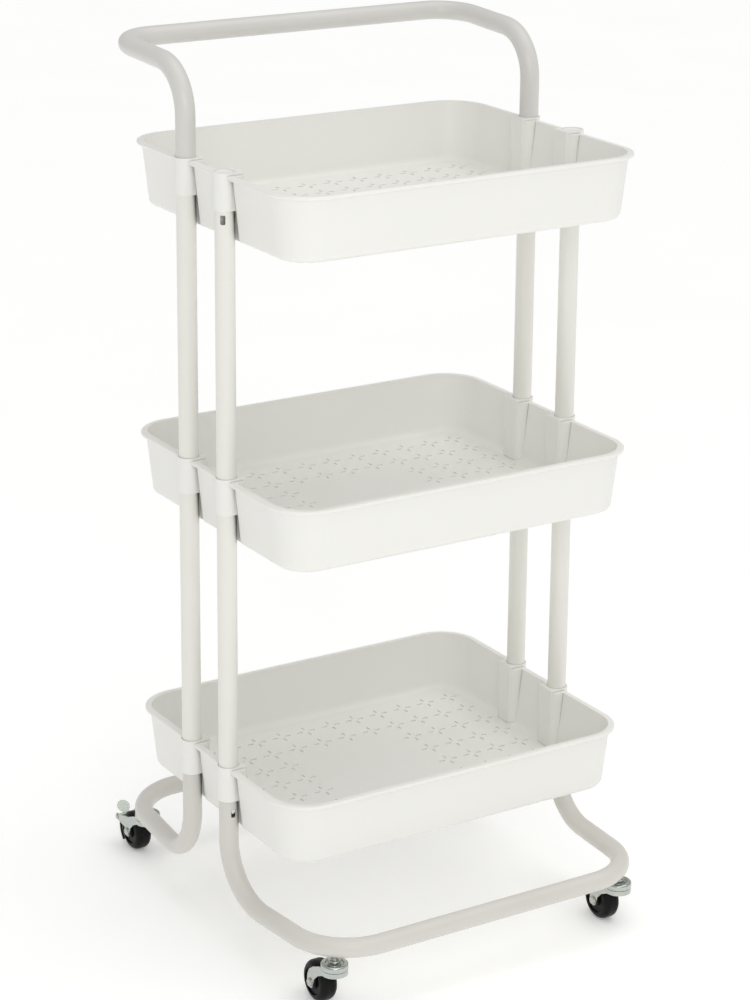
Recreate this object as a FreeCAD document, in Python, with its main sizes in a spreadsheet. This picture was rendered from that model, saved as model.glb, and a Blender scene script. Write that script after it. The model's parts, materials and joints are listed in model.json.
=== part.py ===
import FreeCAD, Part
import math
import os
import re
import Sketcher
from FreeCAD import Placement, Rotation, Vector

# Rolling utility cart: three plastic trays on four stacked tube posts, a bent tube handle,
# two bent tube base hoops and four swivel casters, the rear two with brakes.
# Millimetres. X runs along the trays' long side, -Y is the front, +Z is up.
# The cart is drawn about a point on the floor under the trays' middle, and every sub-part is
# then shifted forward by frame_shift, so that the origin is under the middle of the whole cart.

# Driving dimensions; every part reads them from the sheet.
DIMENSIONS = {
    "frame_shift": 19.9,
    # trays
    "tray_length": 426.0,
    "tray_width": 349.0,
    "tray_height": 68.7,
    "tray_corner": 46.0,
    "tray_wall": 2.0,
    "tray_floor": 2.2,
    "tray_draft": 7.6,
    "lip_reach": 5.0,
    "lip_height": 4.0,
    "lip_round": 1.9,
    "foot_round": 7.0,
    "inner_round": 8.0,
    "rim_height": 213.0,
    "tier_pitch": 315.4,
    # collars moulded on the tray ends
    "collar_od": 24.0,
    "collar_height": 38.0,
    "collar_rise": 2.5,
    "collar_clearance": 0.15,
    "ledge_height": 3.0,
    "ledge_depth": 15.5,
    "collar_neck": 11.6,
    "recess_depth": 13.7,
    "recess_half": 15.0,
    "recess_round": 8.0,
    # drain slots in the tray floors
    "slot_length": 7.6,
    "slot_width": 2.4,
    "slot_offset": 8.0,
    "flower_pitch_x": 32.0,
    "flower_pitch_y": 36.6,
    # tubes
    "tube_od": 20.5,
    "tube_wall": 1.0,
    "post_x": 208.8,
    "post_y": 40.2,
    "snap_width": 5.2,
    "snap_height": 9.5,
    "post_snap_depth": 39.5,
    "hoop_snap_depth": 44.5,
    # handle
    "handle_rise": 98.0,
    "handle_back": 192.0,
    "handle_half": 210.0,
    "handle_leg_bend": 50.0,
    "handle_corner_bend": 40.0,
    "handle_slope": 7.0,
    # base hoops
    "hoop_height": 71.3,
    "hoop_reach": 223.0,
    "hoop_half": 194.5,
    "hoop_leg_bend": 62.0,
    "hoop_corner_bend": 65.0,
    "hoop_slope": 3.2,
    # tube couplers and caps
    "coupler_flange": 1.5,
    "coupler_gap": 0.15,
    "coupler_rib": 2.4,
    "coupler_drop": 50.0,
    "coupler_climb": 22.0,
    "cap_depth": 7.0,
    "cap_plate": 1.6,
    "cap_sink": 0.9,
    # casters
    "wheel_od": 44.0,
    "wheel_width": 19.6,
    "wheel_round": 7.4,
    "wheel_hub": 15.0,
    "wheel_dish": 1.6,
    "axle_diameter": 6.0,
    "running_gap": 0.06,
    "caster_trail": 28.0,
    "fork_inside": 21.2,
    "fork_plate": 1.8,
    "crown_od": 28.0,
    "crown_top": 47.6,
    "crown_plate": 2.2,
    "crown_skirt": 3.2,
    "race_od": 28.6,
    "race_seam": 0.7,
    "race_height": 4.9,
    "race_sheet": 1.6,
    "race_bead": 1.2,
    "ball_diameter": 3.0,
    "ball_circle": 19.0,
    "stem_diameter": 8.0,
    "stem_head": 12.0,
    "nut_across": 13.0,
    "nut_height": 4.2,
    "weld_nut_od": 11.4,
    "weld_nut_height": 7.0,
    # brake pedals
    "pedal_pin_diameter": 3.0,
    "pedal_reach": 26.0,
    "pedal_angle": 20.0,
    "pedal_width": 17.0,
    "pedal_sheet": 1.4,
    "paddle_od": 15.0,
    "paddle_neck": 8.0,
    "pedal_top_wing": 17.0,
    "pedal_low_wing": 27.0,
}

TRAYS = ("tray_bottom", "tray_middle", "tray_top")
CORNERS = {
    "front_left": (-1, -1),
    "front_right": (1, -1),
    "rear_left": (-1, 1),
    "rear_right": (1, 1),
}
FRONT = -1
REAR = 1

# Which way a post's snap window faces, in degrees from the front, turning towards +X.
SHOWN_WINDOW = -40.0
HIDDEN_WINDOW = 140.0

doc = FreeCAD.newDocument("utility_cart")
sheet = doc.addObject("Spreadsheet::Sheet", "dims")
for row, (alias, number) in enumerate(DIMENSIONS.items(), start=1):
    sheet.set(f"A{row}", alias)
    sheet.set(f"B{row}", str(number))
    sheet.setAlias(f"B{row}", alias)
doc.recompute()

parts = {}


def dims(expression):
    """Expression with each driving dimension written as its sheet alias."""
    return re.sub(
        r"[a-z_]+", lambda word: "dims." + word[0] if word[0] in DIMENSIONS else word[0], expression
    )


def value(expression):
    """Number that an expression of driving dimensions gives."""
    return float(sheet.evalExpression(dims(expression)))


def bind(item, **expressions):
    """Tie properties to the sheet; a double underscore stands for a dot in the property's path."""
    for path, expression in expressions.items():
        item.setExpression(path.replace("__", "."), dims(expression))


def place(item, x="0", y="0", z="0", turn=0.0, axis=Vector(0, 0, 1)):
    """Stand an object at bound coordinates, turned by a number of degrees about an axis."""
    item.Placement = Placement(Vector(), Rotation(axis, turn))
    bind(item, Placement__Base__x=x, Placement__Base__y=y, Placement__Base__z=z)


def finish(item, name):
    """Name a finished sub-part and list it for export."""
    item.Label = name
    parts[name] = item


# ---------------------------------------------------------------- primitives and booleans


def cylinder(name, radius, height, x="0", y="0", z="0", turn=0.0, axis=Vector(0, 0, 1)):
    item = doc.addObject("Part::Cylinder", name)
    bind(item, Radius=radius, Height=height)
    place(item, x, y, z, turn, axis)
    return item


def box(name, length, width, height, x="0", y="0", z="0", turn=0.0, axis=Vector(0, 0, 1)):
    item = doc.addObject("Part::Box", name)
    bind(item, Length=length, Width=width, Height=height)
    place(item, x, y, z, turn, axis)
    return item


def cut(name, base, tool):
    item = doc.addObject("Part::Cut", name)
    item.Base = base
    item.Tool = tool
    return item


def fuse(name, members):
    item = doc.addObject("Part::MultiFuse", name)
    item.Shapes = members
    return item


def common(name, members):
    item = doc.addObject("Part::MultiCommon", name)
    item.Shapes = members
    return item


def group(name, members):
    item = doc.addObject("Part::Compound", name)
    item.Links = members
    return item


# ---------------------------------------------------------------- PartDesign


def new_body(name):
    return doc.addObject("PartDesign::Body", name)


def origin_plane(body, role):
    for feature in body.Origin.OriginFeatures:
        if feature.Role == role:
            return feature
    raise RuntimeError(f"{body.Name} has no {role}")


def new_sketch(body, name, role="XY_Plane", lift=None):
    """Sketch on one of the body's origin planes, lifted along the plane's normal if asked."""
    sketch = body.newObject("Sketcher::SketchObject", name)
    sketch.AttachmentSupport = [(origin_plane(body, role), "")]
    sketch.MapMode = "FlatFace"
    if lift:
        bind(sketch, AttachmentOffset__Base__z=lift)
    return sketch


def constrain(sketch, kind, *arguments, size):
    """Add a dimension to a sketch and tie it to the sheet."""
    index = sketch.addConstraint(Sketcher.Constraint(kind, *arguments, value(size)))
    sketch.setExpression(f"Constraints[{index}]", dims(size))


def hold_point(sketch, geometry, point, x, y):
    """Hold a sketch point at bound coordinates."""
    for kind, size in (("DistanceX", x), ("DistanceY", y)):
        constrain(sketch, kind, -1, 1, geometry, point, size=size)


def draw_circle(sketch, radius, x=None, y=None):
    """Circle with a bound radius, about the sketch's origin or about bound coordinates."""
    centre = Vector(value(x), value(y), 0) if x else Vector()
    index = sketch.addGeometry(Part.Circle(centre, Vector(0, 0, 1), value(radius)))
    constrain(sketch, "Radius", index, size=radius)
    if x:
        hold_point(sketch, index, 3, x, y)
    else:
        sketch.addConstraint(Sketcher.Constraint("Coincident", index, 3, -1, 1))


def draw_polygon(sketch, points):
    """Closed polygon whose corners sit at bound coordinates."""
    corners = [Vector(value(x), value(y), 0) for x, y in points]
    for index, start in enumerate(corners):
        sketch.addGeometry(Part.LineSegment(start, corners[(index + 1) % len(corners)]))
    for index, (x, y) in enumerate(points):
        sketch.addConstraint(
            Sketcher.Constraint("Coincident", index - 1 if index else len(points) - 1, 2, index, 1)
        )
        hold_point(sketch, index, 1, x, y)


def draw_rounded_box(sketch, half_x, half_y, radius, x="0", y="0"):
    """Rounded rectangle with bound half sizes, corner radius and centre."""
    a, b, r = value(half_x), value(half_y), value(radius)
    middle = Vector(value(x), value(y), 0)
    signs = ((1, -1), (1, 1), (-1, 1), (-1, -1))
    sides = (
        (Vector(r - a, -b, 0), Vector(a - r, -b, 0)),
        (Vector(a, r - b, 0), Vector(a, b - r, 0)),
        (Vector(a - r, b, 0), Vector(r - a, b, 0)),
        (Vector(-a, b - r, 0), Vector(-a, r - b, 0)),
    )
    lines = []
    arcs = []
    for quarter, (start, end) in enumerate(sides):
        lines.append(sketch.addGeometry(Part.LineSegment(middle + start, middle + end)))
        sign_x, sign_y = signs[quarter]
        centre = middle + Vector(sign_x * (a - r), sign_y * (b - r), 0)
        turn = Part.Circle(centre, Vector(0, 0, 1), r)
        begin = (quarter - 1) * math.pi / 2
        arcs.append(sketch.addGeometry(Part.ArcOfCircle(turn, begin, begin + math.pi / 2)))
    for quarter in range(4):
        sketch.addConstraint(Sketcher.Constraint("Tangent", lines[quarter], 2, arcs[quarter], 1))
        sketch.addConstraint(Sketcher.Constraint("Tangent", arcs[quarter], 2, lines[(quarter + 1) % 4], 1))
        direction = "Vertical" if quarter % 2 else "Horizontal"
        sketch.addConstraint(Sketcher.Constraint(direction, lines[quarter]))
    for quarter in range(1, 4):
        sketch.addConstraint(Sketcher.Constraint("Equal", arcs[0], arcs[quarter]))
    constrain(sketch, "Radius", arcs[0], size=radius)
    constrain(sketch, "DistanceX", -1, 1, lines[1], 1, size=f"{x} + {half_x}")
    constrain(sketch, "DistanceX", lines[3], 1, -1, 1, size=f"{half_x} - ({x})")
    constrain(sketch, "DistanceY", -1, 1, lines[2], 1, size=f"{y} + {half_y}")
    constrain(sketch, "DistanceY", lines[0], 1, -1, 1, size=f"{half_y} - ({y})")


def draw_slot(sketch, length, width, x):
    """Slot along the sketch's X axis, with half-round ends, centred at a bound distance."""
    reach = value(f"{length} / 2 - {width} / 2")
    r = value(f"{width} / 2")
    near = Vector(value(x) - reach, 0, 0)
    far = Vector(value(x) + reach, 0, 0)
    up = Vector(0, r, 0)
    low = sketch.addGeometry(Part.LineSegment(near - up, far - up))
    end = sketch.addGeometry(
        Part.ArcOfCircle(Part.Circle(far, Vector(0, 0, 1), r), -math.pi / 2, math.pi / 2)
    )
    top = sketch.addGeometry(Part.LineSegment(far + up, near + up))
    start = sketch.addGeometry(
        Part.ArcOfCircle(Part.Circle(near, Vector(0, 0, 1), r), math.pi / 2, 1.5 * math.pi)
    )
    ring = (low, end, top, start)
    for index, line in enumerate(ring):
        sketch.addConstraint(Sketcher.Constraint("Tangent", line, 2, ring[(index + 1) % 4], 1))
    sketch.addConstraint(Sketcher.Constraint("PointOnObject", end, 3, -1))
    sketch.addConstraint(Sketcher.Constraint("PointOnObject", start, 3, -1))
    constrain(sketch, "Radius", end, size=f"{width} / 2")
    constrain(sketch, "DistanceX", -1, 1, end, 3, size=f"{x} + {length} / 2 - {width} / 2")
    constrain(sketch, "DistanceX", -1, 1, start, 3, size=f"{x} - {length} / 2 + {width} / 2")


def pad(body, sketch, length, reverse=False, middle=False, taper=None):
    item = body.newObject("PartDesign::Pad", sketch.Name + "_pad")
    item.Profile = sketch
    item.Reversed = reverse
    item.SideType = "Symmetric" if middle else "One side"
    bind(item, Length=length)
    if taper:
        bind(item, TaperAngle=taper)
    body.Tip = item
    return item


def pocket(body, sketch, length, reverse=False, middle=False):
    item = body.newObject("PartDesign::Pocket", sketch.Name + "_pocket")
    item.Profile = sketch
    item.Reversed = reverse
    item.SideType = "Symmetric" if middle else "One side"
    bind(item, Length=length)
    body.Tip = item
    return item


def revolve(body, sketch):
    """Turn a profile once about the sketch's vertical axis."""
    item = body.newObject("PartDesign::Revolution", sketch.Name + "_turned")
    item.Profile = sketch
    item.ReferenceAxis = (sketch, ["V_Axis"])
    item.Angle = 360
    body.Tip = item
    return item


def edges_where(feature, test):
    """Names of a feature's edges whose bounding box passes a test."""
    doc.recompute()
    return [f"Edge{number}" for number, edge in enumerate(feature.Shape.Edges, start=1) if test(edge)]


def lies_at(height):
    """Test for edges that lie wholly at one height."""
    return lambda edge: abs(edge.BoundBox.ZMin - height) < 1e-4 and abs(edge.BoundBox.ZMax - height) < 1e-4


def fillet(body, base, edges, radius):
    item = body.newObject("PartDesign::Fillet", base.Name + "_round")
    item.Base = (base, edges)
    bind(item, Radius=radius)
    body.Tip = item
    return item


# ---------------------------------------------------------------- trays

# Heights in this section are measured from the tray's rim.
COLLAR_BOTTOM = "collar_rise - collar_height"
LEDGE_BOTTOM = "-ledge_depth - ledge_height"
TAPER = "atan(tray_draft / tray_height)"


def tapered_tub(name, inset, depth, edge_radius):
    """Solid that fills the tray's outline inset by some amount, narrowing downwards."""
    body = new_body(name)
    sketch = new_sketch(body, name + "_outline")
    half_x = f"tray_length / 2 - {inset}"
    half_y = f"tray_width / 2 - {inset}"
    draw_rounded_box(sketch, half_x, half_y, f"tray_corner - {inset}")
    tub = pad(body, sketch, depth, reverse=True, taper=f"-{TAPER}")
    foot = edges_where(tub, lies_at(-value(depth)))
    fillet(body, tub, foot, edge_radius)
    return body


def tray_lip(name):
    """Rounded band that runs round the outside of the rim."""
    body = new_body(name)
    sketch = new_sketch(body, name + "_outline")
    draw_rounded_box(sketch, "tray_length / 2", "tray_width / 2", "tray_corner")
    band = pad(body, sketch, "lip_height", reverse=True)
    rims = edges_where(band, lies_at(0)) + edges_where(band, lies_at(-value("lip_height")))
    fillet(body, band, rims, "lip_round")
    return body


def at_each_post(name, radius, height, z):
    """Four upright cylinders of one size, one on each post's axis."""
    members = []
    for corner, (side, end) in CORNERS.items():
        x = f"{side} * post_x"
        y = f"{end} * post_y"
        members.append(cylinder(f"{name}_{corner}", radius, height, x, y, z))
    return group(name, members)


def add_drain_slots(body, name, first_x, first_y, columns, rows, mirror_role):
    """Flowers of four radial slots, in columns and rows, mirrored across one origin plane."""
    sketch = new_sketch(body, name, lift="-tray_height - 1")
    bind(sketch, AttachmentOffset__Base__x=first_x, AttachmentOffset__Base__y=first_y)
    draw_slot(sketch, "slot_length", "slot_width", "slot_offset")
    slot = pocket(body, sketch, "tray_floor + 2", reverse=True)
    slot.Refine = False
    pattern = body.newObject("PartDesign::MultiTransform", name + "_pattern")
    pattern.Originals = [slot]
    pattern.Refine = False
    around = body.newObject("PartDesign::PolarPattern", name + "_around")
    around.Axis = (sketch, ["N_Axis"])
    around.Occurrences = 4
    along = body.newObject("PartDesign::LinearPattern", name + "_along")
    along.Direction = (sketch, ["H_Axis"])
    along.Occurrences = columns
    bind(along, Length=f"{columns - 1} * flower_pitch_x")
    across = body.newObject("PartDesign::LinearPattern", name + "_across")
    across.Direction = (sketch, ["V_Axis"])
    across.Occurrences = rows
    bind(across, Length=f"{rows - 1} * flower_pitch_y")
    mirrored = body.newObject("PartDesign::Mirrored", name + "_mirrored")
    mirrored.MirrorPlane = (origin_plane(body, mirror_role), [""])
    pattern.Transformations = [around, along, across, mirrored]
    body.Tip = pattern
    return pattern


def block_at_each_post(name, near, far, half_width, corner, height, z):
    """Four upright blocks with rounded corners, between two distances from the tray's middle plane."""
    members = []
    for corner_name, (side, end) in CORNERS.items():
        body = new_body(f"{name}_{corner_name}")
        outline = new_sketch(body, f"{name}_{corner_name}_outline")
        draw_rounded_box(outline, f"({far} - {near}) / 2", half_width, corner)
        pad(body, outline, height)
        place(body, f"{side} * ({near} + {far}) / 2", f"{end} * post_y", z)
        members.append(body)
    return group(name, members)


def build_moulding(name):
    """A tray, moulded in one piece with its four tube collars."""
    block = tapered_tub(name + "_block", "lip_reach", "tray_height", "foot_round")
    cavity = tapered_tub(
        name + "_cavity", "(lip_reach + tray_wall)", "(tray_height - tray_floor)", "inner_round"
    )
    shell = cut(name + "_shell", fuse(name + "_walls", [block, tray_lip(name + "_lip")]), cavity)
    back = "(post_x - recess_depth)"
    outside = "(tray_length / 2 + 10)"
    pilasters = common(name + "_pilasters", [block, block_at_each_post(
        name + "_column", f"({back} - tray_wall)", outside,
        "recess_half + tray_wall", "recess_round + tray_wall", "tray_height", "-tray_height")])
    recesses = block_at_each_post(
        name + "_recess", back, outside, "recess_half", "recess_round",
        "tray_height - lip_height + 1", "-tray_height - 1")
    walls = cut(name + "_recessed", fuse(name + "_ribbed", [shell, pilasters]), recesses)
    collars = at_each_post(name + "_collar", "collar_od / 2", "collar_height", COLLAR_BOTTOM)
    necks = block_at_each_post(
        name + "_neck", f"({back} - tray_wall)", "post_x", "collar_neck", "1", "collar_height", COLLAR_BOTTOM)
    solid = fuse(name + "_solid", [walls, collars, necks])
    bore = "tube_od / 2 + collar_clearance"
    clear = "collar_rise + ledge_depth + 1"
    openings = [
        at_each_post(name + "_upper_bore", bore, clear, "-ledge_depth"),
        at_each_post(
            name + "_lower_bore", bore, f"{LEDGE_BOTTOM} - ({COLLAR_BOTTOM}) + 1", f"{COLLAR_BOTTOM} - 1"
        ),
        at_each_post(
            name + "_ledge_bore", "tube_od / 2 - tube_wall + 0.05", "ledge_height + 2", f"{LEDGE_BOTTOM} - 1"
        ),
    ]
    for number, opening in enumerate(openings):
        solid = cut(f"{name}_opened_{number}", solid, opening)
    body = new_body(name)
    body.BaseFeature = solid
    side_x = "-5.5 * flower_pitch_x"
    side_y = "-3.5 * flower_pitch_y"
    add_drain_slots(body, name + "_end_slots", side_x, side_y, 4, 8, "YZ_Plane")
    middle_x = "-1.5 * flower_pitch_x"
    add_drain_slots(body, name + "_middle_slots", middle_x, side_y, 4, 2, "XZ_Plane")
    return body


def place_trays():
    """Three trays from one moulding, a tier apart."""
    moulding = build_moulding("moulding")
    for tier, name in enumerate(TRAYS):
        tray = new_body(name)
        tray.BaseFeature = moulding
        place(tray, z=f"rim_height + {tier} * tier_pitch")
        finish(tray, name)


# ---------------------------------------------------------------- tubes


def bend(before, corner, after, radius):
    """Start, middle and end of the arc that rounds the corner between two straight runs."""
    back = (before - corner).normalize()
    ahead = (after - corner).normalize()
    half_angle = back.getAngle(ahead) / 2
    reach = radius / math.tan(half_angle)
    inward = (back + ahead).normalize()
    middle = corner + inward * (radius / math.sin(half_angle) - radius)
    return corner + back * reach, middle, corner + ahead * reach


def bent_tube_path(points, radii):
    """Centreline through corner points, each inner corner rounded to its own radius."""
    edges = []
    start = points[0]
    for before, corner, after, radius in zip(points, points[1:], points[2:], radii):
        arc_start, arc_middle, arc_end = bend(before, corner, after, radius)
        edges.append(Part.makeLine(start, arc_start))
        edges.append(Part.Arc(arc_start, arc_middle, arc_end).toShape())
        start = arc_end
    edges.append(Part.makeLine(start, points[-1]))
    return Part.Wire(edges)


def sweep_round(path, radius):
    """Solid rod of one radius along a path that starts upright."""
    start = path.Vertexes[0].Point
    ring = Part.Wire([Part.makeCircle(radius, start, Vector(0, 0, 1))])
    return path.makePipeShell([ring], True, False)


def sweep_tube(path):
    """Hollow tube along a path."""
    radius = value("tube_od / 2")
    return sweep_round(path, radius).cut(sweep_round(path, radius - value("tube_wall")))


def add_tube(name, shape):
    item = doc.addObject("Part::Feature", name)
    item.Shape = shape
    finish(item, name)


def build_post(name, side, end, tier, window):
    """Straight post with a snap window near its upper end."""
    body = new_body(name)
    profile = new_sketch(body, name + "_profile")
    draw_circle(profile, "tube_od / 2")
    draw_circle(profile, "tube_od / 2 - tube_wall")
    length = "tier_pitch - ledge_height - coupler_flange"
    pad(body, profile, length)
    opening = new_sketch(body, name + "_window", "XZ_Plane")
    middle = f"{length} - (post_snap_depth + snap_height / 2 - ledge_depth - ledge_height)"
    draw_rounded_box(opening, "snap_width / 2", "snap_height / 2", "snap_width / 4", y=middle)
    pocket(body, opening, "tube_od", reverse=True)
    foot = f"rim_height + {tier} * tier_pitch - ledge_depth + coupler_flange"
    place(body, f"{side} * post_x", f"{end} * post_y", foot, window)
    finish(body, name)


def build_handle():
    """One bent tube that rises from the rear collars of the top tray and reaches back."""
    rim = value("rim_height + 2 * tier_pitch")
    foot = rim - value("ledge_depth - coupler_flange")
    bar = rim + value("handle_rise")
    left_leg = Vector(-value("post_x"), value("post_y"), foot)
    left_turn = Vector(-value("post_x"), value("post_y"), bar - value("handle_slope"))
    left_corner = Vector(-value("handle_half"), value("handle_back"), bar)
    left = [left_leg, left_turn, left_corner]
    right = [Vector(-point.x, point.y, point.z) for point in reversed(left)]
    leg_bend = value("handle_leg_bend")
    corner_bend = value("handle_corner_bend")
    path = bent_tube_path(left + right, [leg_bend, corner_bend, corner_bend, leg_bend])
    add_tube("handle_tube", sweep_tube(path))


def hoop_points(side, end):
    """Corner points of one half of a hoop's centreline, from its leg to its bar."""
    top = value(f"rim_height + {LEDGE_BOTTOM}")
    height = value("hoop_height")
    leg = Vector(side * value("post_x"), end * value("post_y"), top)
    turn = Vector(side * value("post_x"), end * value("post_y"), height - value("hoop_slope"))
    corner = Vector(side * value("hoop_half"), end * value("hoop_reach"), height)
    return [leg, turn, corner]


def caster_spot(side, end):
    """Point on a hoop's centreline, half way round its corner bend, where a caster stands."""
    _, turn, corner = hoop_points(side, end)
    across = Vector(-corner.x, corner.y, corner.z)
    return bend(turn, corner, across, value("hoop_corner_bend"))[1]


def build_hoop(name, end):
    """Bent tube under the bottom tray, with snap windows in its legs and holes for two casters."""
    leg_bend = value("hoop_leg_bend")
    corner_bend = value("hoop_corner_bend")
    points = hoop_points(-1, end) + hoop_points(1, end)[::-1]
    shape = sweep_tube(bent_tube_path(points, [leg_bend, corner_bend, corner_bend, leg_bend]))
    hole = value("stem_diameter / 2 + 0.3")
    wide = value("snap_width")
    tall = value("snap_height")
    for side in (-1, 1):
        spot = caster_spot(side, end)
        shape = shape.cut(Part.makeCylinder(hole, value("tube_od / 2 + 2"), spot, Vector(0, 0, -1)))
        window = Part.makeBox(wide, value("tube_od"), tall, Vector(-wide / 2, 0, 0))
        upright = [edge for edge in window.Edges if edge.BoundBox.YLength > 1]
        window = window.makeFillet(wide / 4, upright)
        window.rotate(Vector(), Vector(0, 0, 1), 180 if end == FRONT else 0)
        sill = value("rim_height - hoop_snap_depth") - tall
        window.translate(Vector(side * value("post_x"), end * value("post_y"), sill))
        shape = shape.cut(window)
    add_tube(name, shape)


# ---------------------------------------------------------------- couplers and caps


def build_coupler(name, side, end, tier, window, climb, snap_depth, latched):
    """Ribbed plug that joins two tubes through a collar's ledge; its lug latches in a window."""
    drop = "(coupler_drop - ledge_depth)"
    envelope = "tube_od / 2 - tube_wall - coupler_gap"
    rib = "coupler_rib"
    reach = f"({envelope})"
    members = [cylinder(name + "_flange", "tube_od / 2", "coupler_flange")]
    core = []
    for tag, height, z in (("low", drop, f"-{drop}"), ("high", climb, "coupler_flange")):
        width = f"2 * {reach}"
        one = box(f"{name}_{tag}_one", width, rib, height, f"-{reach}", f"-{rib} / 2", z)
        two = box(f"{name}_{tag}_two", rib, width, height, f"-{rib} / 2", f"-{reach}", z)
        round_rod = cylinder(f"{name}_{tag}_rod", envelope, height, z=z)
        core.append(common(f"{name}_{tag}", [fuse(f"{name}_{tag}_cross", [one, two]), round_rod]))
    members += core
    if latched:
        lug_top = f"ledge_depth - {snap_depth} - 0.3"
        lug = box(name + "_lug_block", "snap_width - 0.8", "tube_od / 2", "snap_height * 0.4",
                  "0.4 - snap_width / 2", "-tube_od / 2", f"{lug_top} - snap_height * 0.4")
        outside = cylinder(name + "_lug_face", "tube_od / 2 - 0.15", drop, z=f"-{drop}")
        members.append(common(name + "_lug", [lug, outside]))
    plug = fuse(name, members)
    z = f"rim_height + {tier} * tier_pitch - ledge_depth"
    place(plug, f"{side} * post_x", f"{end} * post_y", z, window)
    return plug


def build_couplers():
    """Four couplers for each tray."""
    for tier, tray in enumerate(TRAYS):
        members = []
        for corner, (side, end) in CORNERS.items():
            below_hoop = tier == 0
            under_cap = tier == 2 and end == FRONT
            turned_away = tier == 2 and corner == "front_left"
            window = HIDDEN_WINDOW
            if below_hoop:
                window = 0.0 if end == FRONT else 180.0
            if turned_away:
                window = 0.0
            climb = "cap_depth / 4" if under_cap else "coupler_climb"
            depth = "hoop_snap_depth" if below_hoop else "post_snap_depth"
            name = f"coupler_{tier}_{corner}"
            members.append(build_coupler(name, side, end, tier, window, climb, depth, not turned_away))
        finish(group(tray + "_couplers", members), tray.replace("tray_", "couplers_"))


def build_cap(name, side):
    """Dished plug in the open top of a front collar."""
    body = new_body(name)
    profile = new_sketch(body, name + "_profile", "XZ_Plane")
    radius = "tube_od / 2"
    face = "collar_rise - cap_sink"
    draw_polygon(profile, (
        ("0.001", f"{face} - cap_plate"),
        (f"{radius} - cap_plate", f"{face} - cap_plate"),
        (f"{radius} - cap_plate", "-cap_depth"),
        (radius, "-cap_depth"),
        (radius, "collar_rise - 0.2"),
        (f"{radius} - 1.2", "collar_rise - 0.2"),
        (f"{radius} - 2.2", face),
        ("0.001", face),
    ))
    revolve(body, profile)
    place(body, f"{side} * post_x", "-post_y", "rim_height + 2 * tier_pitch")
    finish(body, name)


# ---------------------------------------------------------------- casters

# Heights in this section are measured from the floor; each piece stands on its swivel axis,
# and the wheel trails towards the rear.
AXLE_HEIGHT = "wheel_od / 2"
CROWN_UNDER = "(crown_top - crown_plate)"
RACE_FOOT = "(crown_top + race_seam)"
RACE_TOP = f"({RACE_FOOT} + race_height)"
PIN_Y = "(caster_trail + pedal_reach * cos(pedal_angle))"
PIN_Z = "(wheel_od / 2 + pedal_reach * sin(pedal_angle))"


def caster_place(item, side, end):
    spot = caster_spot(side, end)
    item.Placement = Placement(Vector(spot.x, spot.y, 0), item.Placement.Rotation)


def turned_piece(name, points, role="XZ_Plane"):
    """Body turned from a closed profile about the plane's upright axis."""
    body = new_body(name)
    profile = new_sketch(body, name + "_profile", role)
    draw_polygon(profile, points)
    return body, revolve(body, profile)


def build_stem(name, side, end):
    """Threaded stem that is also the kingpin, with its head riveted under the fork's crown."""
    radius = "stem_diameter / 2"
    head = f"{CROWN_UNDER} - running_gap"
    body, _ = turned_piece(name, (
        ("0", f"{head} - 2.4"),
        ("stem_head / 2 - 1", f"{head} - 2.4"),
        ("stem_head / 2", f"{head} - 1.4"),
        ("stem_head / 2", head),
        (radius, head),
        (radius, "hoop_height - 1.5"),
        (f"{radius} - 1", "hoop_height - 0.5"),
        ("0", "hoop_height - 0.5"),
    ))
    caster_place(body, side, end)
    finish(body, name)


def build_jam_nut(name, side, end):
    """Hexagon nut that clamps the race under the tube."""
    blank = doc.addObject("Part::Prism", name + "_blank")
    blank.Polygon = 6
    bind(blank, Circumradius="nut_across / 2 / cos(30)", Height="nut_height")
    place(blank, z=RACE_TOP)
    rounded = doc.addObject("Part::Cone", name + "_chamfer")
    bind(rounded, Radius1="nut_across / 2 + 3.2", Radius2="nut_across / 2 - 0.6", Height="nut_height")
    place(rounded, z=RACE_TOP)
    bore = cylinder(name + "_bore", "stem_diameter / 2 + 0.05", "nut_height + 2", z=f"{RACE_TOP} - 1")
    nut = cut(name, common(name + "_hexagon", [blank, rounded]), bore)
    caster_place(nut, side, end)
    finish(nut, name)


def build_race(name, side, end):
    """Upper race: a beaded ring over the balls, with a valley round the nut's seat."""
    rim = "race_od / 2"
    ball_top = "(crown_top + ball_diameter + running_gap)"
    bead_top = f"({RACE_TOP} + race_bead)"
    valley = f"({RACE_TOP} - 0.7)"
    body, turned = turned_piece(name, (
        ("stem_diameter / 2 + 0.05", ball_top),
        (f"{rim} - race_sheet", ball_top),
        (f"{rim} - race_sheet", RACE_FOOT),
        (rim, RACE_FOOT),
        (rim, bead_top),
        (f"{rim} - 4.2", bead_top),
        (f"{rim} - 5.2", valley),
        ("nut_across / 2 + 1.4", valley),
        ("nut_across / 2 + 1", RACE_TOP),
        ("stem_diameter / 2 + 0.05", RACE_TOP),
    ))
    top = value(bead_top)
    outside = value("race_od - 1")
    brow = edges_where(turned, lambda edge: lies_at(top)(edge) and edge.BoundBox.XLength > outside)
    rounded = fillet(body, turned, brow, "2.4")
    within = value("race_od - 7")
    crest = edges_where(rounded, lambda edge: lies_at(top)(edge) and edge.BoundBox.XLength < within)
    fillet(body, rounded, crest, "0.9")
    caster_place(body, side, end)
    finish(body, name)


def build_balls(name, side, end):
    """Ring of loose balls between the crown and the race."""
    count = 14
    balls = []
    for number in range(count):
        ball = doc.addObject("Part::Sphere", f"{name}_{number}")
        bind(ball, Radius="ball_diameter / 2")
        angle = f"{number * 360 / count}"
        x = f"ball_circle / 2 * cos({angle})"
        y = f"ball_circle / 2 * sin({angle})"
        place(ball, x, y, "crown_top + ball_diameter / 2 + running_gap / 2")
        balls.append(ball)
    ring = group(name, balls)
    caster_place(ring, side, end)
    finish(ring, name)


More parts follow.
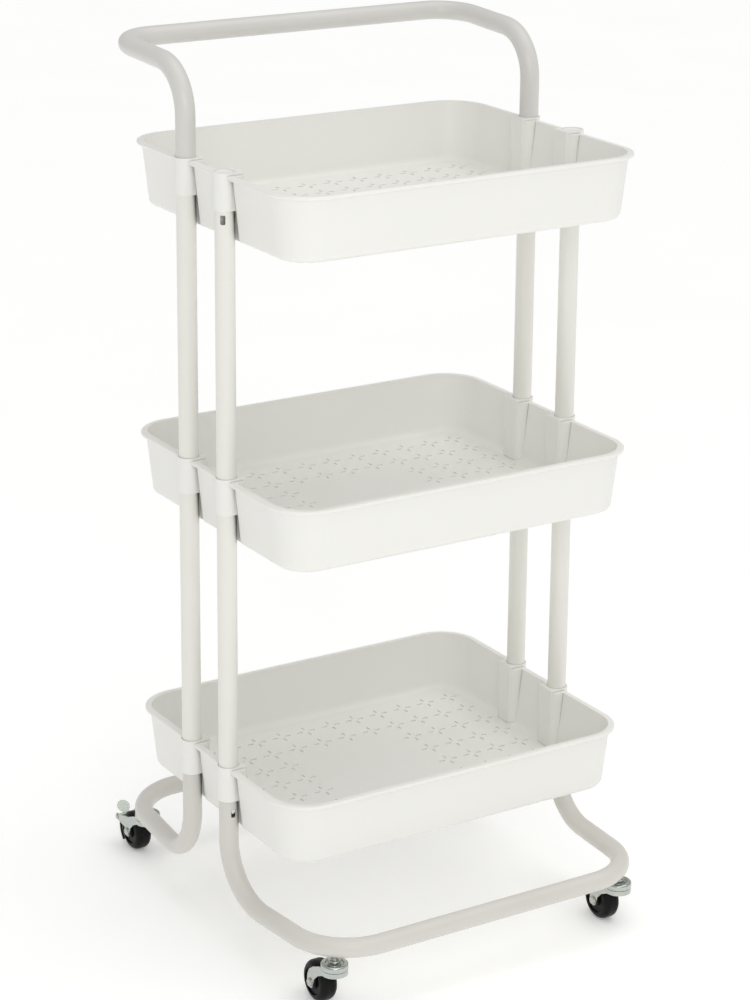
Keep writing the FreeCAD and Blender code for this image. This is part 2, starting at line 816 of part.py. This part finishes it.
def build_fork(name, side, end, braked):
    """Pressed fork: round crown, short skirt and two cheeks that hold the axle."""
    body = new_body(name)
    outside = "fork_inside + 2 * fork_plate"
    cheeks = new_sketch(body, name + "_cheeks", "YZ_Plane")
    draw_polygon(cheeks, (
        ("-6", "crown_top"),
        ("crown_od / 2 - 6", "crown_top"),
        ("crown_od / 2", "crown_top - 1.6"),
        ("caster_trail - 6", "crown_top - 5"),
        ("caster_trail + 2", "crown_top - 11"),
        ("caster_trail + 5.4", "crown_top - 18"),
        ("caster_trail + 5.8", AXLE_HEIGHT),
        ("caster_trail - 5.6", f"{AXLE_HEIGHT} - 1"),
        ("caster_trail - 8", "crown_top - 19"),
        ("caster_trail - 15", "crown_top - 12"),
        ("caster_trail - 24", "crown_top - 7.4"),
        ("-6", "crown_top - crown_plate - crown_skirt"),
    ))
    pad(body, cheeks, outside, middle=True)
    eyes = new_sketch(body, name + "_eyes", "YZ_Plane")
    draw_circle(eyes, "5.8", "caster_trail", AXLE_HEIGHT)
    pad(body, eyes, outside, middle=True)
    if braked:
        ears = new_sketch(body, name + "_ears", "YZ_Plane")
        draw_polygon(ears, (
            ("caster_trail - 5", "crown_top - 6"),
            (f"{PIN_Y} - 3", f"{PIN_Z} + 3.6"),
            (f"{PIN_Y} + 2", f"{PIN_Z} + 3.6"),
            (f"{PIN_Y} + 3.6", f"{PIN_Z} + 1"),
            (f"{PIN_Y} + 3.6", f"{PIN_Z} - 2.4"),
            (f"{PIN_Y} + 1", f"{PIN_Z} - 3.6"),
            (f"{PIN_Y} - 4", f"{PIN_Z} - 3.6"),
            ("caster_trail", f"{AXLE_HEIGHT} + 3"),
        ))
        pad(body, ears, outside, middle=True)
    between = new_sketch(body, name + "_between", "YZ_Plane")
    draw_polygon(between, (
        ("-20", "0"),
        ("caster_trail + 45", "0"),
        ("caster_trail + 45", "crown_top + 1"),
        ("crown_od / 2 - 4", "crown_top + 1"),
        ("crown_od / 2 - 4", CROWN_UNDER),
        ("-20", CROWN_UNDER),
    ))
    pocket(body, between, "fork_inside", middle=True)
    crown = new_sketch(body, name + "_crown", lift=CROWN_UNDER)
    draw_circle(crown, "crown_od / 2")
    pad(body, crown, "crown_plate")
    skirt = new_sketch(body, name + "_skirt", lift=CROWN_UNDER)
    draw_circle(skirt, "crown_od / 2")
    draw_circle(skirt, "crown_od / 2 - fork_plate")
    pad(body, skirt, "crown_skirt", reverse=True)
    clearance = new_sketch(body, name + "_clearance", "YZ_Plane")
    draw_circle(clearance, "wheel_od / 2 + 0.9", "caster_trail", AXLE_HEIGHT)
    pocket(body, clearance, "fork_inside", middle=True)
    king = new_sketch(body, name + "_king", lift="crown_top + 1")
    draw_circle(king, "stem_diameter / 2 + running_gap")
    pocket(body, king, "crown_plate + 3")
    axle = new_sketch(body, name + "_axle", "YZ_Plane")
    draw_circle(axle, "axle_diameter / 2 + 0.02", "caster_trail", AXLE_HEIGHT)
    pocket(body, axle, "fork_inside + 10", middle=True)
    if braked:
        pin = new_sketch(body, name + "_pin", "YZ_Plane")
        draw_circle(pin, "pedal_pin_diameter / 2 + 0.02", PIN_Y, PIN_Z)
        pocket(body, pin, "fork_inside + 10", middle=True)
    caster_place(body, side, end)
    finish(body, name)


def build_cross_pin(name, radius, head, side, end, y, z):
    """Headed pin across the fork; its profile is turned about an axis along X."""
    half = "(fork_inside / 2 + fork_plate)"
    body, turned = turned_piece(name, (
        ("0", f"-{half} - {head} * 0.4"),
        (f"{head} * 0.8", f"-{half} - {head} * 0.4"),
        (head, f"-{half} - {head} * 0.2"),
        (head, f"-{half}"),
        (radius, f"-{half}"),
        (radius, half),
        (head, half),
        (head, f"{half} + {head} * 0.2"),
        (f"{head} * 0.8", f"{half} + {head} * 0.4"),
        ("0", f"{half} + {head} * 0.4"),
    ))
    spot = caster_spot(side, end)
    centre = Vector(spot.x, spot.y + value(y), value(z))
    body.Placement = Placement(centre, Rotation(Vector(0, 1, 0), 90))
    finish(body, name)


def build_wheel(name, side, end):
    """Hard black wheel with rounded shoulders, dished sides and a plain bore."""
    half = "wheel_width / 2"
    body, turned = turned_piece(name, (
        ("axle_diameter / 2 + running_gap", f"-{half} - 0.5"),
        ("wheel_hub / 2", f"-{half} - 0.5"),
        ("wheel_hub / 2", f"wheel_dish - {half}"),
        ("wheel_od / 2 - wheel_round", f"wheel_dish - {half}"),
        ("wheel_od / 2 - wheel_round", f"-{half}"),
        ("wheel_od / 2", f"-{half}"),
        ("wheel_od / 2", half),
        ("wheel_od / 2 - wheel_round", half),
        ("wheel_od / 2 - wheel_round", f"{half} - wheel_dish"),
        ("wheel_hub / 2", f"{half} - wheel_dish"),
        ("wheel_hub / 2", f"{half} + 0.5"),
        ("axle_diameter / 2 + running_gap", f"{half} + 0.5"),
    ))
    rim = value("wheel_od - 1")
    shoulders = edges_where(turned, lambda edge: edge.BoundBox.XLength > rim and edge.BoundBox.ZLength < 1e-4)
    fillet(body, turned, shoulders, "wheel_round - 0.6")
    spot = caster_spot(side, end)
    centre = Vector(spot.x, spot.y + value("caster_trail"), value(AXLE_HEIGHT))
    body.Placement = Placement(centre, Rotation(Vector(0, 1, 0), 90))
    finish(body, name)


def build_pedal(name, side, end):
    """Pressed brake pedal: a wing to step on, an eye round its pin and a wing that meets the wheel."""
    along_x = Vector(0, 1, 0)
    half = "pedal_width / 2"
    eye = cylinder(name + "_eye", "pedal_pin_diameter / 2 + pedal_sheet", "pedal_width",
                   f"-{half}", PIN_Y, PIN_Z, 90, along_x)
    inner = "(pedal_reach - 0.6)"
    band_outer = cylinder(name + "_band_outer", f"{inner} + pedal_sheet", "pedal_width",
                          f"-{half}", "caster_trail", AXLE_HEIGHT, 90, along_x)
    band_inner = cylinder(name + "_band_inner", inner, "pedal_width + 2",
                          f"-{half} - 1", "caster_trail", AXLE_HEIGHT, 90, along_x)
    sector = box(name + "_sector", "pedal_width + 2", "pedal_reach", "pedal_low_wing",
                 f"-{half} - 1", "caster_trail + 10", f"{PIN_Z} - pedal_low_wing")
    low = common(name + "_low_wing", [cut(name + "_band", band_outer, band_inner), sector])
    paddle_middle = "1.4 + pedal_top_wing - paddle_od / 2"
    paddle = cylinder(name + "_paddle", "paddle_od / 2", "pedal_sheet", "0", paddle_middle, "0.4")
    neck = box(name + "_neck", "paddle_neck", paddle_middle, "pedal_sheet", "-paddle_neck / 2", "1.4", "0.4")
    top = fuse(name + "_top_wing", [paddle, neck])
    place(top, "0", PIN_Y, PIN_Z, 35, Vector(1, 0, 0))
    bore = cylinder(name + "_bore", "pedal_pin_diameter / 2 + running_gap", "pedal_width + 2",
                    f"-{half} - 1", PIN_Y, PIN_Z, 90, along_x)
    pedal = cut(name, fuse(name + "_sheet", [eye, low, top]), bore)
    caster_place(pedal, side, end)
    finish(pedal, name)


def build_weld_nuts(name, end):
    """Threaded inserts inside a hoop's tube, one over each caster."""
    members = []
    for side in (-1, 1):
        tag = "right" if side > 0 else "left"
        spot = caster_spot(side, end)
        z = "hoop_height - tube_od / 2 + tube_wall + 2.2"
        blank = cylinder(f"{name}_{tag}_blank", "weld_nut_od / 2", "weld_nut_height", z=z)
        bore = cylinder(f"{name}_{tag}_bore", "stem_diameter / 2 + 0.05", "weld_nut_height + 2", z=f"{z} - 1")
        nut = cut(f"{name}_{tag}", blank, bore)
        nut.Placement = Placement(Vector(spot.x, spot.y, 0), Rotation())
        members.append(nut)
    finish(group(name + "_pair", members), name)


def build_caster(corner, side, end):
    build_stem(f"stem_{corner}", side, end)
    build_jam_nut(f"jam_nut_{corner}", side, end)
    build_race(f"race_{corner}", side, end)
    build_balls(f"balls_{corner}", side, end)
    build_fork(f"fork_{corner}", side, end, braked=end == REAR)
    build_cross_pin(f"axle_{corner}", "axle_diameter / 2", "4.7", side, end, "caster_trail", AXLE_HEIGHT)
    build_wheel(f"wheel_{corner}", side, end)
    if end == REAR:
        build_pedal(f"brake_pedal_{corner}", side, end)
        build_cross_pin(f"brake_pin_{corner}", "pedal_pin_diameter / 2", "2.6", side, end, PIN_Y, PIN_Z)


# ---------------------------------------------------------------- assembly

place_trays()
for corner, (side, end) in CORNERS.items():
    upper_window = SHOWN_WINDOW if corner == "front_left" else HIDDEN_WINDOW
    build_post(f"post_lower_{corner}", side, end, 0, HIDDEN_WINDOW)
    build_post(f"post_upper_{corner}", side, end, 1, upper_window)
build_handle()
build_hoop("hoop_front", FRONT)
build_hoop("hoop_rear", REAR)
build_couplers()
build_cap("cap_left", -1)
build_cap("cap_right", 1)
build_weld_nuts("weld_nuts_front", FRONT)
build_weld_nuts("weld_nuts_rear", REAR)
for corner, (side, end) in CORNERS.items():
    build_caster(corner, side, end)
doc.recompute()

# ---------------------------------------------------------------- checks and export

for item in doc.Objects:
    if "Invalid" in item.State or "Error" in item.State:
        raise RuntimeError(f"{item.Label} did not build: {item.State}")
for name, item in parts.items():
    if item.Shape.isNull() or not item.Shape.isValid() or not item.Shape.Solids:
        raise RuntimeError(f"{name} has no valid solid")

os.makedirs("parts", exist_ok=True)
shift = Vector(0, -value("frame_shift"), 0)
whole = FreeCAD.BoundBox()
for name, item in parts.items():
    shape = item.Shape.copy()
    shape.translate(shift)
    shape.exportStep(f"parts/{name}.step")
    whole.add(shape.BoundBox)
print(f"box {whole}")
print(f"{len(parts)} sub-parts")
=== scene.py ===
import json
import math

import bmesh
import bpy
from mathutils import Matrix, Vector


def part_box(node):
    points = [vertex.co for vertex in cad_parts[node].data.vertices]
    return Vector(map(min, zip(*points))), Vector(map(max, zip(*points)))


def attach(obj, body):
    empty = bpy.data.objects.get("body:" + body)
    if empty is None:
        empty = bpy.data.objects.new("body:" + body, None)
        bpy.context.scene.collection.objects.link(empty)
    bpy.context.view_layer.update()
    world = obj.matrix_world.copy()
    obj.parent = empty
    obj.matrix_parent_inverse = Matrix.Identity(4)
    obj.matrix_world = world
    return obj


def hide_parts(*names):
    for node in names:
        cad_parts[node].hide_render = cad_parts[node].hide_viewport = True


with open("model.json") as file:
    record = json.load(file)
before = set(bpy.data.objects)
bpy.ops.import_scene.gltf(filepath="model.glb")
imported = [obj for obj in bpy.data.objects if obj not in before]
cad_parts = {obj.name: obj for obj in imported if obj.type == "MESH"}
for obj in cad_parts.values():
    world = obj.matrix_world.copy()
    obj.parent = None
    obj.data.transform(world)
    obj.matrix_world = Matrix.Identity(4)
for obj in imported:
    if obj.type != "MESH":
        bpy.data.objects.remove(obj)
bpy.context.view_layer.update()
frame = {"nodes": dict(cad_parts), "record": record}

CORNERS = ("front_left", "front_right", "rear_left", "rear_right")
MM = 0.001
WHITE = (1.0, 1.0, 1.0)


# ---------------------------------------------------------------- materials

# Levels that hold most of what a noise texture gives.
NOISE_LEVELS = (0.3, 0.7)
WIDE_LEVELS = (0.25, 0.8)
OCCLUSION_SAMPLES = 12


class Shader:
    """One node-based material, read in the object's own metres."""

    def __init__(self, name, metallic=0.0):
        self.material = bpy.data.materials.new(name)
        self.material.use_nodes = True
        self.tree = self.material.node_tree
        self.bsdf = self.tree.nodes["Principled BSDF"]
        self.place = self.tree.nodes.new("ShaderNodeTexCoord").outputs["Object"]
        self.colour = None
        self.relief = None
        self.set("Metallic", metallic)

    def set(self, socket, value):
        self.bsdf.inputs[socket].default_value = value

    def link(self, source, target):
        self.tree.links.new(source, target)

    def mapped(self, socket, value):
        """The object's coordinates, scaled or moved."""
        node = self.tree.nodes.new("ShaderNodeMapping")
        node.inputs[socket].default_value = value
        self.link(self.place, node.inputs["Vector"])
        return node.outputs["Vector"]

    def noise(self, scale, detail=3.0, rough=0.5, stretch=None):
        """Noise with so many features to the metre, stretched along an axis if asked."""
        node = self.tree.nodes.new("ShaderNodeTexNoise")
        node.inputs["Scale"].default_value = scale
        node.inputs["Detail"].default_value = detail
        node.inputs["Roughness"].default_value = rough
        place = self.mapped("Scale", stretch) if stretch else self.place
        self.link(place, node.inputs["Vector"])
        return node.outputs["Fac"]

    def turning_rings(self, centre, scale, distortion):
        """Rings about an axis along X through a centre, as a lathe or a round mould leaves."""
        node = self.tree.nodes.new("ShaderNodeTexWave")
        node.wave_type = "RINGS"
        node.rings_direction = "X"
        node.inputs["Scale"].default_value = scale
        node.inputs["Distortion"].default_value = distortion
        self.link(self.mapped("Location", -centre), node.inputs["Vector"])
        return node.outputs["Fac"]

    def ramp(self, source, low, high, levels=NOISE_LEVELS):
        """Number that runs from low to high as the source does between two levels."""
        node = self.tree.nodes.new("ShaderNodeMapRange")
        node.inputs["From Min"].default_value, node.inputs["From Max"].default_value = levels
        node.inputs["To Min"].default_value = low
        node.inputs["To Max"].default_value = high
        self.link(source, node.inputs["Value"])
        return node.outputs["Result"]

    def tint(self, source, first, second, levels=NOISE_LEVELS):
        """Colour that runs between two as the source does; a further tint multiplies the one before."""
        mix = self.tree.nodes.new("ShaderNodeMix")
        mix.data_type = "RGBA"
        self.link(self.ramp(source, 0.0, 1.0, levels), mix.inputs["Factor"])
        mix.inputs["A"].default_value = (*first, 1.0)
        mix.inputs["B"].default_value = (*second, 1.0)
        result = mix.outputs["Result"]
        if self.colour:
            both = self.tree.nodes.new("ShaderNodeMix")
            both.data_type = "RGBA"
            both.blend_type = "MULTIPLY"
            both.inputs["Factor"].default_value = 1.0
            self.link(self.colour, both.inputs["A"])
            self.link(result, both.inputs["B"])
            result = both.outputs["Result"]
        self.colour = result
        self.link(result, self.bsdf.inputs["Base Color"])

    def shade_recesses(self, reach, darkest, levels):
        """Darken narrow gaps and the insides of tubes, where light hardly reaches."""
        node = self.tree.nodes.new("ShaderNodeAmbientOcclusion")
        node.inputs["Distance"].default_value = reach
        node.samples = OCCLUSION_SAMPLES
        self.tint(node.outputs["AO"], darkest, WHITE, levels)

    def gloss(self, source, low, high):
        """Roughness that runs between two values as the source does."""
        self.link(self.ramp(source, low, high), self.bsdf.inputs["Roughness"])

    def bump(self, source, depth, strength):
        """Relief of a depth in metres; a further bump builds on the one before."""
        node = self.tree.nodes.new("ShaderNodeBump")
        node.inputs["Strength"].default_value = strength
        node.inputs["Distance"].default_value = depth
        self.link(source, node.inputs["Height"])
        if self.relief:
            self.link(self.relief, node.inputs["Normal"])
        self.relief = node.outputs["Normal"]
        self.link(self.relief, self.bsdf.inputs["Normal"])


def moulded_plastic(name, colour, dark):
    """Satin injection-moulded plastic: faint flow marks, fine mould grain, uneven gloss."""
    s = Shader(name)
    s.set("IOR", 1.49)
    s.set("Subsurface Weight", 0.12)
    s.set("Subsurface Radius", (1.0, 0.95, 0.85))
    s.set("Subsurface Scale", 4.0 * MM)
    flow_marks = s.noise(7.0, detail=4.0, stretch=(1.0, 1.0, 0.4))
    s.tint(flow_marks, colour, dark, WIDE_LEVELS)
    s.gloss(s.noise(26.0, detail=5.0, rough=0.6), 0.28, 0.42)
    grain = s.noise(2600.0, detail=2.0)
    s.bump(grain, depth=0.04 * MM, strength=0.35)
    sink_marks = s.noise(55.0, detail=2.0)
    s.bump(sink_marks, depth=0.4 * MM, strength=0.05)
    s.shade_recesses(4.0 * MM, (0.5, 0.49, 0.44), (0.3, 0.75))
    return s.material


def powder_coat(name, colour, dark):
    """Satin powder coat: orange-peel relief, slight change of thickness, soft clear sheen."""
    s = Shader(name)
    s.set("IOR", 1.5)
    s.set("Coat Weight", 0.22)
    s.set("Coat Roughness", 0.16)
    s.tint(s.noise(11.0, detail=4.0), colour, dark, WIDE_LEVELS)
    s.gloss(s.noise(60.0, detail=4.0, rough=0.6), 0.3, 0.44)
    orange_peel = s.noise(780.0, detail=2.0, rough=0.4)
    s.bump(orange_peel, depth=0.12 * MM, strength=0.28)
    powder = s.noise(4200.0, detail=1.0)
    s.bump(powder, depth=0.03 * MM, strength=0.2)
    s.shade_recesses(14.0 * MM, (0.012, 0.012, 0.01), (0.2, 0.45))
    return s.material


def zinc_plate(name, cool, warm, smooth, rough):
    """Bright zinc plating on pressed steel: faint passivate tints, drawing marks, uneven polish."""
    s = Shader(name, metallic=1.0)
    s.tint(s.noise(60.0), cool, warm, (0.35, 0.65))
    spangle = s.noise(520.0, detail=4.0, rough=0.6)
    s.tint(spangle, WHITE, (0.86, 0.87, 0.86), (0.45, 0.75))
    s.gloss(s.noise(160.0, detail=4.0, rough=0.6), smooth, rough)
    drawing_marks = s.noise(900.0, detail=2.0, stretch=(1.0, 1.0, 0.2))
    s.bump(drawing_marks, depth=0.03 * MM, strength=0.16)
    press_dents = s.noise(90.0, detail=2.0)
    s.bump(press_dents, depth=0.3 * MM, strength=0.07)
    return s.material


def wheel_plastic(name, axle):
    """Hard black wheel plastic with turning rings about the axle and dust in its texture."""
    s = Shader(name)
    s.set("IOR", 1.36)
    s.set("Specular IOR Level", 0.22)
    dust = s.noise(240.0, detail=5.0, rough=0.7)
    s.tint(dust, (0.005, 0.005, 0.0055), (0.0105, 0.010, 0.0095), (0.35, 0.8))
    s.gloss(s.noise(330.0, detail=5.0, rough=0.7), 0.26, 0.4)
    s.bump(s.turning_rings(axle, scale=180.0, distortion=0.4), depth=0.03 * MM, strength=0.12)
    s.bump(s.noise(1400.0), depth=0.03 * MM, strength=0.14)
    return s.material


def floor_paper():
    """Matt white studio paper, slightly self-lit so that it stays pale under a soft light."""
    s = Shader("floor_paper")
    s.set("Roughness", 0.8)
    s.tint(s.noise(3.0), (0.975, 0.975, 0.97), (0.96, 0.96, 0.955))
    s.bump(s.noise(90.0), depth=0.3 * MM, strength=0.1)
    s.set("Emission Color", (*WHITE, 1.0))
    s.set("Emission Strength", 0.17)
    return s.material


MATERIALS = {
    "tray_plastic": moulded_plastic("tray_plastic", (0.875, 0.87, 0.835), (0.86, 0.855, 0.815)),
    "coupler_plastic": moulded_plastic("coupler_plastic", (0.8, 0.8, 0.77), (0.77, 0.77, 0.74)),
    "post_paint": powder_coat("post_paint", (0.83, 0.82, 0.765), (0.805, 0.795, 0.74)),
    # Partly painted shade: the handle paint is set about a tenth darker than its own tone, so that the
    # top of the bar looks shaded as under weak light from above.
    "handle_paint": powder_coat("handle_paint", (0.69, 0.68, 0.65), (0.66, 0.65, 0.615)),
    "hoop_paint": powder_coat("hoop_paint", (0.68, 0.66, 0.615), (0.65, 0.63, 0.585)),
    "zinc_steel": zinc_plate("zinc_steel", (0.48, 0.53, 0.52), (0.54, 0.55, 0.5), 0.16, 0.3),
    "rivet_steel": zinc_plate("rivet_steel", (0.48, 0.5, 0.49), (0.54, 0.53, 0.49), 0.2, 0.34),
    "pedal_zinc": zinc_plate("pedal_zinc", (0.47, 0.53, 0.5), (0.56, 0.56, 0.47), 0.22, 0.36),
    "ball_steel": zinc_plate("ball_steel", (0.74, 0.75, 0.77), (0.77, 0.76, 0.75), 0.08, 0.16),
}


def dress(piece, material):
    piece.data.materials.clear()
    piece.data.materials.append(material)


def dress_cad_nodes():
    """Give every CAD node the material of its slot, and each wheel one centred on its axle."""
    nodes = frame["nodes"]
    slots = {part["node"]: part["material_slot"] for part in frame["record"]["subparts"]}
    for node, piece in nodes.items():
        if slots[node] in MATERIALS:
            dress(piece, MATERIALS[slots[node]])
    for corner in CORNERS:
        wheel = f"wheel_{corner}"
        low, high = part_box(wheel)
        dress(nodes[wheel], wheel_plastic(f"{wheel}_plastic", (low + high) / 2))


# ---------------------------------------------------------------- threaded stems

STEM_SEGMENTS = 48
SHANK_RADIUS = 3.95 * MM
HEAD_HEIGHT = 2.35 * MM
HEAD_TAPER = 0.97
# The domed underside of the riveted head: share of the head's radius, height in mm.
HEAD_DOME = ((0.15, 0.35), (0.3, 0.12), (0.55, 0.0), (0.78, 0.1), (0.92, 0.45), (1.0, 1.0), (1.0, 1.9))
THREAD_PITCH = 1.25 * MM
THREAD_DEPTH = 0.62 * MM
THREAD_BELOW_NUT_TOP = 7 * MM
RINGS_PER_TURN = 8


def thread_cut(height, turn):
    """How far a helical thread cuts in, at a height above its start and a share of a turn."""
    run_in = min(1.0, height / THREAD_PITCH)
    flank = abs(2 * ((height / THREAD_PITCH - turn) % 1.0) - 1)
    return THREAD_DEPTH * run_in * flank


def turned_mesh(profile, centre, thread_from):
    """Solid turned about an upright axis, with a helical thread cut above one height."""
    mesh = bmesh.new()
    rings = []
    for radius, z in profile:
        ring = []
        for step in range(STEM_SEGMENTS):
            turn = step / STEM_SEGMENTS
            angle = turn * math.tau
            r = radius
            if z > thread_from:
                r -= thread_cut(z - thread_from, turn)
            ring.append(mesh.verts.new(centre + Vector((r * math.cos(angle), r * math.sin(angle), z))))
        rings.append(ring)
    for below, above in zip(rings, rings[1:]):
        for step in range(STEM_SEGMENTS):
            after = (step + 1) % STEM_SEGMENTS
            mesh.faces.new((below[step], below[after], above[after], above[step]))
    mesh.faces.new(list(reversed(rings[0])))
    mesh.faces.new(rings[-1])
    mesh.normal_update()
    return mesh


def mesh_object(mesh, name):
    """Object in the scene from a bmesh, which is used up."""
    data = bpy.data.meshes.new(name)
    mesh.to_mesh(data)
    mesh.free()
    piece = bpy.data.objects.new(name, data)
    bpy.context.scene.collection.objects.link(piece)
    return piece


def build_stem(corner):
    """Kingpin with a riveted head, a plain shank in the races and a rolled thread above."""
    node = f"stem_{corner}"
    low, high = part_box(node)
    centre = Vector(((low.x + high.x) / 2, (low.y + high.y) / 2, 0))
    head = (high.x - low.x) / 2
    crown = low.z + HEAD_HEIGHT
    thread_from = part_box(f"jam_nut_{corner}")[1].z - THREAD_BELOW_NUT_TOP
    thread_length = high.z - thread_from
    profile = [(head * share, low.z + lift * MM) for share, lift in HEAD_DOME]
    profile += [(head * HEAD_TAPER, crown), (SHANK_RADIUS, crown), (SHANK_RADIUS, thread_from)]
    steps = int(thread_length / (THREAD_PITCH / RINGS_PER_TURN))
    for step in range(1, steps + 1):
        profile.append((SHANK_RADIUS, thread_from + thread_length * step / steps))
    stem = mesh_object(turned_mesh(profile, centre, thread_from), f"threaded_{node}")
    stem.data.shade_smooth()
    dress(stem, MATERIALS["zinc_steel"])
    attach(stem, "cart_frame")
    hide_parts(node)


# ---------------------------------------------------------------- floor, light and camera

FLOOR_REACH = 9.0

STUDIO_WHITE = (1.0, 1.0, 0.995, 1.0)
AMBIENT = 0.585
BACKDROP = 0.98

CAMERA_TARGET = Vector((0.0, -0.0199, 0.597))
CAMERA_DISTANCE = 3.0173
CAMERA_AZIMUTH = math.radians(-32.015)
CAMERA_ELEVATION = math.radians(16.522)
CAMERA_ROLL = math.radians(0.533)
CAMERA_LENS = 103.25
CAMERA_SENSOR = 36.0
CAMERA_SHIFT = (-0.00664, -0.125)
CAMERA_CLIP_END = 60.0


def build_floor():
    mesh = bmesh.new()
    bmesh.ops.create_grid(mesh, x_segments=8, y_segments=8, size=FLOOR_REACH)
    floor = mesh_object(mesh, "floor")
    dress(floor, floor_paper())


def add_light(light, position, target):
    """Light in the scene at a position, pointing at a target."""
    lamp = bpy.data.objects.new(light.name, light)
    lamp.location = position
    lamp.rotation_mode = "QUATERNION"
    lamp.rotation_quaternion = (Vector(target) - Vector(position)).to_track_quat("-Z", "Y")
    bpy.context.scene.collection.objects.link(lamp)


def softbox(name, position, target, size, power):
    light = bpy.data.lights.new(name, "AREA")
    light.shape = "RECTANGLE"
    light.size, light.size_y = size
    light.energy = power
    add_light(light, position, target)


def sun(name, direction, strength, spread):
    """Distant light that comes from a direction, with a soft edge of so many degrees."""
    light = bpy.data.lights.new(name, "SUN")
    light.energy = strength
    light.angle = math.radians(spread)
    add_light(light, direction, (0.0, 0.0, 0.0))


def build_world():
    """Even white surround, brighter where the camera sees it directly than as a light."""
    world = bpy.data.worlds.new("studio")
    world.use_nodes = True
    tree = world.node_tree
    ambient = tree.nodes["Background"]
    backdrop = tree.nodes.new("ShaderNodeBackground")
    for background, strength in ((ambient, AMBIENT), (backdrop, BACKDROP)):
        background.inputs["Color"].default_value = STUDIO_WHITE
        background.inputs["Strength"].default_value = strength
    ray = tree.nodes.new("ShaderNodeLightPath")
    mix = tree.nodes.new("ShaderNodeMixShader")
    from_camera, otherwise, seen = mix.inputs
    tree.links.new(ray.outputs["Is Camera Ray"], from_camera)
    tree.links.new(ambient.outputs["Background"], otherwise)
    tree.links.new(backdrop.outputs["Background"], seen)
    tree.links.new(mix.outputs["Shader"], tree.nodes["World Output"].inputs["Surface"])
    bpy.context.scene.world = world


def build_light():
    """Soft frontal key, a broad light from above and an even surround."""
    build_world()
    softbox("key", position=(-1.1, -2.4, 1.8), target=(0.0, 0.0, 0.6), size=(1.7, 1.5), power=15.5)
    sun("overhead", direction=(0.2, -0.15, 1.0), strength=0.85, spread=60.0)
    bpy.context.scene.view_settings.view_transform = "Standard"


def build_camera():
    data = bpy.data.cameras.new("camera")
    data.lens = CAMERA_LENS
    data.sensor_width = CAMERA_SENSOR
    data.shift_x, data.shift_y = CAMERA_SHIFT
    data.clip_end = CAMERA_CLIP_END
    camera = bpy.data.objects.new("camera", data)
    back = Vector((
        math.sin(CAMERA_AZIMUTH) * math.cos(CAMERA_ELEVATION),
        -math.cos(CAMERA_AZIMUTH) * math.cos(CAMERA_ELEVATION),
        math.sin(CAMERA_ELEVATION),
    ))
    right = Vector((math.cos(CAMERA_AZIMUTH), math.sin(CAMERA_AZIMUTH), 0.0))
    up = back.cross(right)
    rolled_right = right * math.cos(CAMERA_ROLL) + up * math.sin(CAMERA_ROLL)
    rolled_up = up * math.cos(CAMERA_ROLL) - right * math.sin(CAMERA_ROLL)
    turn = Matrix((rolled_right, rolled_up, back)).transposed().to_4x4()
    camera.matrix_world = Matrix.Translation(CAMERA_TARGET + back * CAMERA_DISTANCE) @ turn
    bpy.context.scene.collection.objects.link(camera)
    bpy.context.scene.camera = camera


dress_cad_nodes()
for corner in CORNERS:
    build_stem(corner)
build_floor()
build_light()
build_camera()
